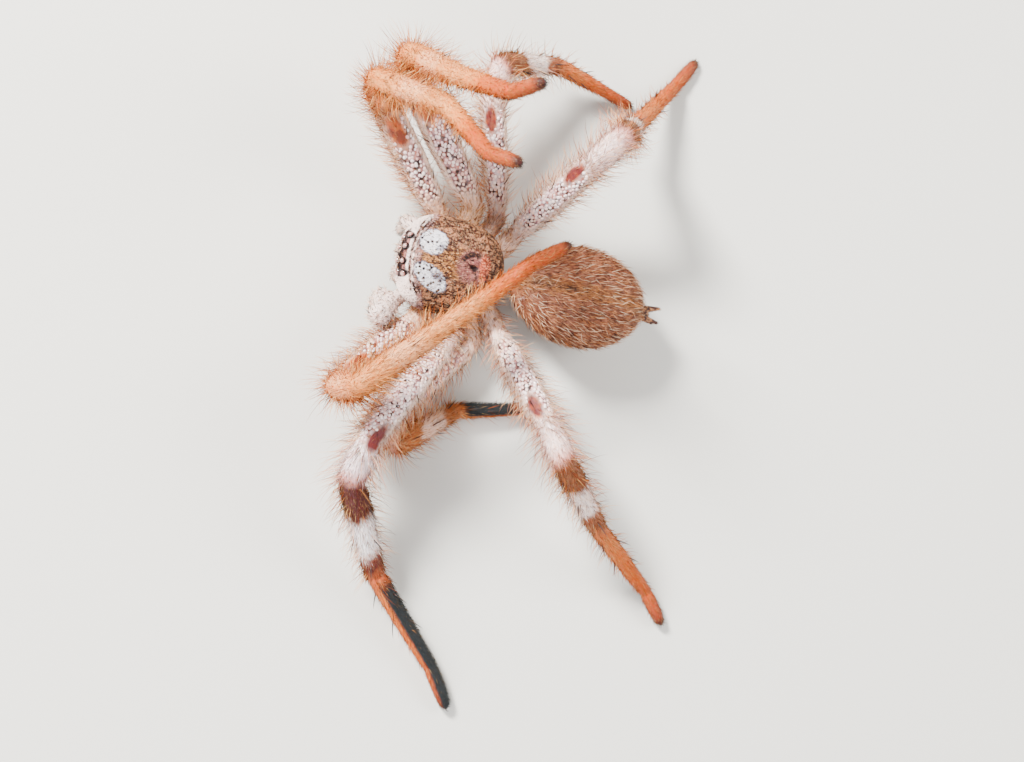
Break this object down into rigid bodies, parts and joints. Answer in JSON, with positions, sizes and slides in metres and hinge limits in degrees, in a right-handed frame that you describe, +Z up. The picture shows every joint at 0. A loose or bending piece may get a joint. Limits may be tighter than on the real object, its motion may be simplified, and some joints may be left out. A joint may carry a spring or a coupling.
{
  "type": "huntsman spider",
  "caption": "Life-size huntsman spider model, still, its front right legs and front left leg raised, long jointed furry legs, spotted thighs, domed head with dark eyes.",
  "frame": {"origin": "on the floor, under the middle of the box round the whole spider", "axes": "+Z up from the floor, -Y the way the head faces, +X the spider's left side"},
  "size_m": [0.074, 0.0456, 0.0396],
  "materials": {
    "carapace": "velvety pink-brown shield with two white patches and a cream front edge",
    "abdomen": "short matt brown-grey fur with faint darker marks",
    "flesh": "pale pink-cream skin under short fur",
    "spotted_leg": "dark net with small raised cream-white spots, long fringe of hairs",
    "furred_leg": "apricot fur with long bristles and dark spines",
    "foot": "orange fur above, dense slate-grey pad below",
    "eye_lens": "glossy dark lens",
    "fang": "polished dark red-brown horn"
  },
  "bodies": {
    "root": {"abdomen": "abdomen", "carapace": "carapace", "chelicera_left": "flesh", "chelicera_right": "flesh", "eye_front_middle_left": "eye_lens", "eye_front_middle_right": "eye_lens", "eye_front_side_left": "eye_lens", "eye_front_side_right": "eye_lens", "eye_rear_middle_left": "eye_lens", "eye_rear_middle_right": "eye_lens", "eye_rear_side_left": "eye_lens", "eye_rear_side_right": "eye_lens", "fang_left": "fang", "fang_right": "fang", "leg_left_1_coxa": "flesh", "leg_left_1_femur": "spotted_leg", "leg_left_1_foot": "foot", "leg_left_1_patella": "furred_leg", "leg_left_1_tibia": "furred_leg", "leg_left_2_coxa": "flesh", "leg_left_2_femur": "spotted_leg", "leg_left_2_foot": "foot", "leg_left_2_patella": "furred_leg", "leg_left_2_tibia": "furred_leg", "leg_left_3_coxa": "flesh", "leg_left_3_femur": "spotted_leg", "leg_left_3_foot": "foot", "leg_left_3_patella": "furred_leg", "leg_left_3_tibia": "furred_leg", "leg_left_4_coxa": "flesh", "leg_left_4_femur": "spotted_leg", "leg_left_4_foot": "foot", "leg_left_4_patella": "furred_leg", "leg_left_4_tibia": "furred_leg", "leg_right_1_coxa": "flesh", "leg_right_1_femur": "spotted_leg", "leg_right_1_foot": "foot", "leg_right_1_patella": "furred_leg", "leg_right_1_tibia": "furred_leg", "leg_right_2_coxa": "flesh", "leg_right_2_femur": "spotted_leg", "leg_right_2_foot": "foot", "leg_right_2_patella": "furred_leg", "leg_right_2_tibia": "furred_leg", "leg_right_3_coxa": "flesh", "leg_right_3_femur": "spotted_leg", "leg_right_3_foot": "foot", "leg_right_3_patella": "furred_leg", "leg_right_3_tibia": "furred_leg", "leg_right_4_coxa": "flesh", "leg_right_4_femur": "spotted_leg", "leg_right_4_foot": "foot", "leg_right_4_patella": "furred_leg", "leg_right_4_tibia": "furred_leg", "palp_left": "flesh", "palp_right": "flesh", "spinnerets": "flesh", "sternum": "flesh"}
  },
  "joints": []
}
